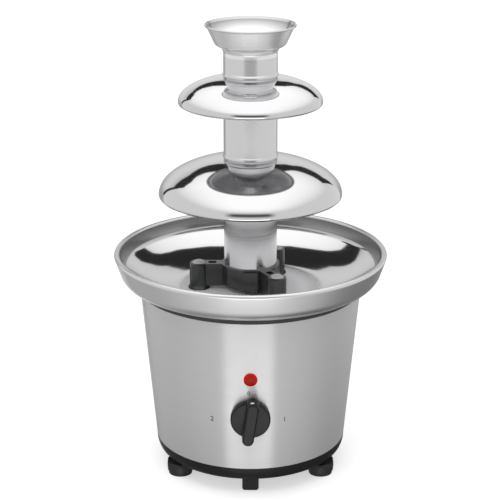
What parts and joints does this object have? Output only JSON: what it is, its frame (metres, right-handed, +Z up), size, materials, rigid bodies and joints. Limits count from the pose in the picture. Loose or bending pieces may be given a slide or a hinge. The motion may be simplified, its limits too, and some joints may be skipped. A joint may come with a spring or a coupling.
{
  "type": "chocolate fountain",
  "caption": "Table chocolate fountain: heated steel bowl on a conical housing, auger in stacked tubes, domed tiers and crown cup, bar knob, levelling feet.",
  "frame": {"origin": "on the table under the fountain's axis", "axes": "+Z up along the auger's axis, -Y towards the front with the knob, +X to the right seen from the front"},
  "size_m": [0.2318, 0.2318, 0.3852],
  "materials": {
    "polished_steel": "mirror polished stainless steel",
    "satin_steel": "satin stainless sheet",
    "zinc_steel": "zinc plated steel",
    "aluminium": "plain aluminium",
    "brass": "turned brass",
    "winding": "laminations and enamelled copper",
    "black_plastic": "moulded black plastic",
    "knob_black": "semi-gloss black plastic",
    "foot_black": "semi-gloss black plastic",
    "black_rubber": "black silicone rubber",
    "pin_grey": "grey nylon",
    "white_nylon": "natural nylon",
    "lamp_red": "translucent red lens"
  },
  "bodies": {
    "base": {"housing_shell": "satin_steel", "base_plate": "black_plastic", "bowl": "polished_steel", "bowl_gasket": "black_rubber", "locating_pins": "pin_grey", "pin_nuts": "zinc_steel", "heat_spreader": "aluminium", "heater_ring": "zinc_steel", "thermostat": "black_plastic", "shaft_bush": "brass", "shaft_seal": "black_rubber", "tie_rods": "zinc_steel", "rod_spacers": "aluminium", "rod_nuts": "zinc_steel", "motor_bracket": "zinc_steel", "gear_case": "black_plastic", "gear_plate": "zinc_steel", "motor_case": "zinc_steel", "stator": "winding", "idler_pin": "zinc_steel", "motor_screws": "zinc_steel", "rotary_switch": "black_plastic", "switch_nut": "zinc_steel", "pilot_lamp_lens": "lamp_red", "pilot_lamp_body": "white_nylon", "cord_gland": "black_rubber", "foot_inserts": "brass"},
    "drive": {"drive_shaft": "zinc_steel", "output_gear": "white_nylon"},
    "idler": {"idler_gear": "white_nylon"},
    "rotor": {"rotor_core": "aluminium", "rotor_shaft": "zinc_steel"},
    "auger": {"auger": "white_nylon"},
    "lower_tower": {"tower_base": "black_plastic", "lower_tube": "polished_steel", "large_tier": "polished_steel"},
    "middle_tower": {"middle_tube": "polished_steel", "small_tier": "polished_steel"},
    "crown": {"crown": "polished_steel"},
    "knob": {"control_knob": "knob_black", "switch_shaft": "zinc_steel"},
    "pad_left": {"foot_pad_left": "black_rubber"},
    "pad_right": {"foot_pad_right": "black_rubber"},
    "pad_rear": {"foot_pad_rear": "black_rubber"},
    "foot_left": {"levelling_foot_left": "foot_black"},
    "foot_right": {"levelling_foot_right": "foot_black"},
    "foot_rear": {"levelling_foot_rear": "foot_black"}
  },
  "joints": [
    {"name": "drive_spin", "type": "hinge", "parent": "base", "child": "drive", "pos_m": [0, 0, 0.13], "axis": [0, 0, 1], "continuous": true},
    {"name": "idler_spin", "type": "hinge", "parent": "base", "child": "idler", "pos_m": [0.024, 0, 0.108], "axis": [0, 0, 1], "continuous": true},
    {"name": "rotor_spin", "type": "hinge", "parent": "base", "child": "rotor", "pos_m": [0, 0, 0.08], "axis": [0, 0, 1], "continuous": true},
    {"name": "auger_lift", "type": "slide", "parent": "drive", "child": "auger", "axis": [0, 0, 1], "range_m": [0, 0.22]},
    {"name": "tower_lift", "type": "slide", "parent": "base", "child": "lower_tower", "axis": [0, 0, 1], "range_m": [0, 0.25]},
    {"name": "middle_lift", "type": "slide", "parent": "lower_tower", "child": "middle_tower", "axis": [0, 0, 1], "range_m": [0, 0.12]},
    {"name": "crown_lift", "type": "slide", "parent": "middle_tower", "child": "crown", "axis": [0, 0, 1], "range_m": [0, 0.12]},
    {"name": "knob_turn", "type": "hinge", "parent": "base", "child": "knob", "pos_m": [0, -0.08675, 0.076], "axis": [0, -0.9959, -0.0907], "range_deg": [-82, 98]},
    {"name": "pad_left_slide", "type": "slide", "parent": "base", "child": "pad_left", "axis": [0, 0, -1], "range_m": [0, 0.008]},
    {"name": "foot_left_turn", "type": "hinge", "parent": "pad_left", "child": "foot_left", "pos_m": [-0.06062, -0.035, 0.008], "axis": [0, 0, -1], "range_deg": [0, 1920]},
    {"name": "pad_right_slide", "type": "slide", "parent": "base", "child": "pad_right", "axis": [0, 0, -1], "range_m": [0, 0.008]},
    {"name": "foot_right_turn", "type": "hinge", "parent": "pad_right", "child": "foot_right", "pos_m": [0.06062, -0.035, 0.008], "axis": [0, 0, -1], "range_deg": [0, 1920]},
    {"name": "pad_rear_slide", "type": "slide", "parent": "base", "child": "pad_rear", "axis": [0, 0, -1], "range_m": [0, 0.008]},
    {"name": "foot_rear_turn", "type": "hinge", "parent": "pad_rear", "child": "foot_rear", "pos_m": [0, 0.07, 0.008], "axis": [0, 0, -1], "range_deg": [0, 1920]}
  ],
  "couplings": [
    {"joint": "idler_spin", "follows": "drive_spin", "ratio": -4},
    {"joint": "rotor_spin", "follows": "drive_spin", "ratio": 16},
    {"joint": "foot_left_turn", "follows": "pad_left_slide", "rad_per_m": 4188.8},
    {"joint": "foot_right_turn", "follows": "pad_right_slide", "rad_per_m": 4188.8},
    {"joint": "foot_rear_turn", "follows": "pad_rear_slide", "rad_per_m": 4188.8}
  ]
}
